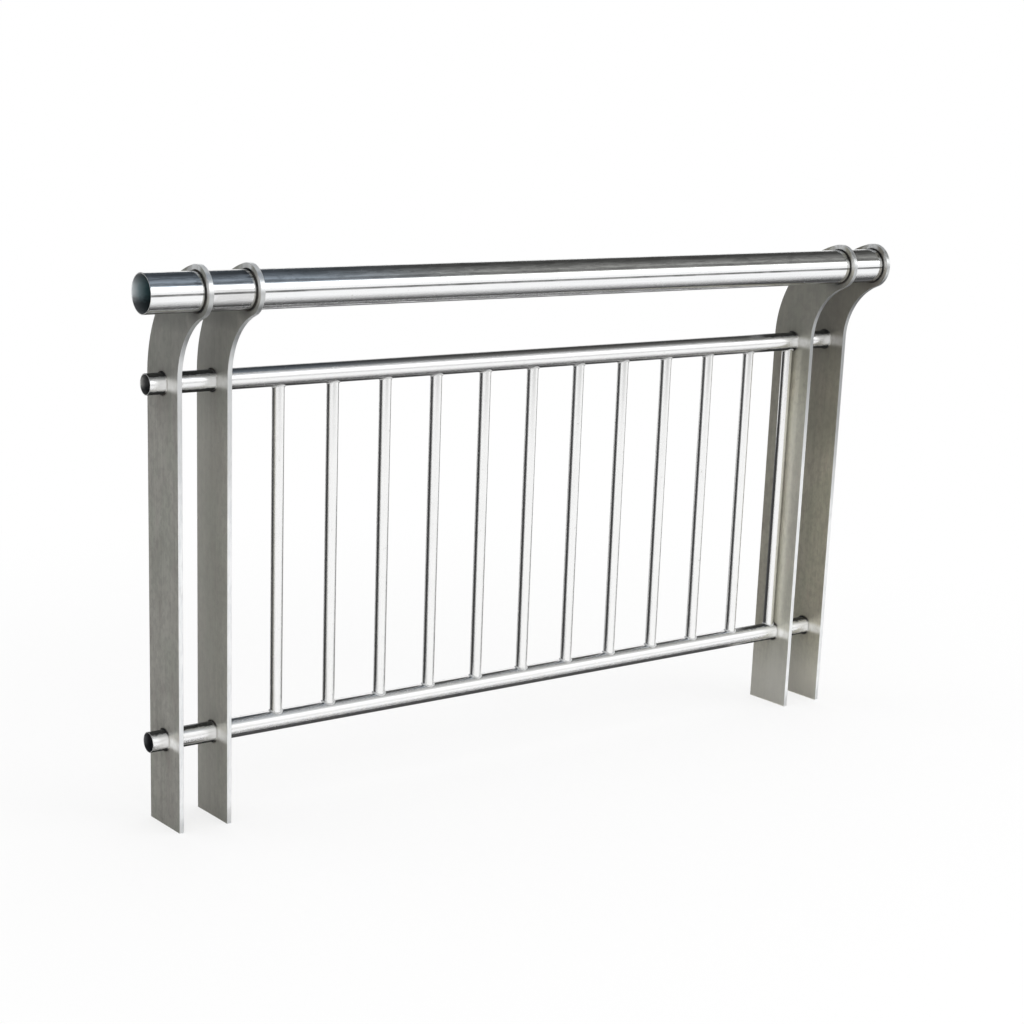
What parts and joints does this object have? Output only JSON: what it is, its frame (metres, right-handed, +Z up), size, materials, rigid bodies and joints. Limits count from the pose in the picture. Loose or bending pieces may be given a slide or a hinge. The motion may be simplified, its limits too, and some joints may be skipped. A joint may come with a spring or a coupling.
{
  "type": "bridge guardrail panel",
  "caption": "Stainless bridge guardrail panel: paired flat post plates with forward curved heads holding a round handrail above two rails with upright balusters.",
  "frame": {"origin": "middle of the foot of the left outer post plate", "axes": "+X along the panel to the right, -Y towards the walkway, +Z up"},
  "size_m": [1.912, 0.242, 1.13],
  "materials": {
    "plate_steel": "brushed upright, satin",
    "handrail_steel": "polished tube",
    "rail_steel": "polished tube",
    "baluster_steel": "polished tube",
    "weld_steel": "dull weld bead"
  },
  "bodies": {
    "root": {"left_outer_plate": "plate_steel", "left_inner_plate": "plate_steel", "right_inner_plate": "plate_steel", "right_outer_plate": "plate_steel", "left_outer_welds": "weld_steel", "left_inner_welds": "weld_steel", "right_inner_welds": "weld_steel", "right_outer_welds": "weld_steel", "handrail": "handrail_steel", "upper_rail": "rail_steel", "lower_rail": "rail_steel", "baluster_01": "baluster_steel", "baluster_02": "baluster_steel", "baluster_03": "baluster_steel", "baluster_04": "baluster_steel", "baluster_05": "baluster_steel", "baluster_06": "baluster_steel", "baluster_07": "baluster_steel", "baluster_08": "baluster_steel", "baluster_09": "baluster_steel", "baluster_10": "baluster_steel", "baluster_11": "baluster_steel", "baluster_12": "baluster_steel"}
  },
  "joints": []
}
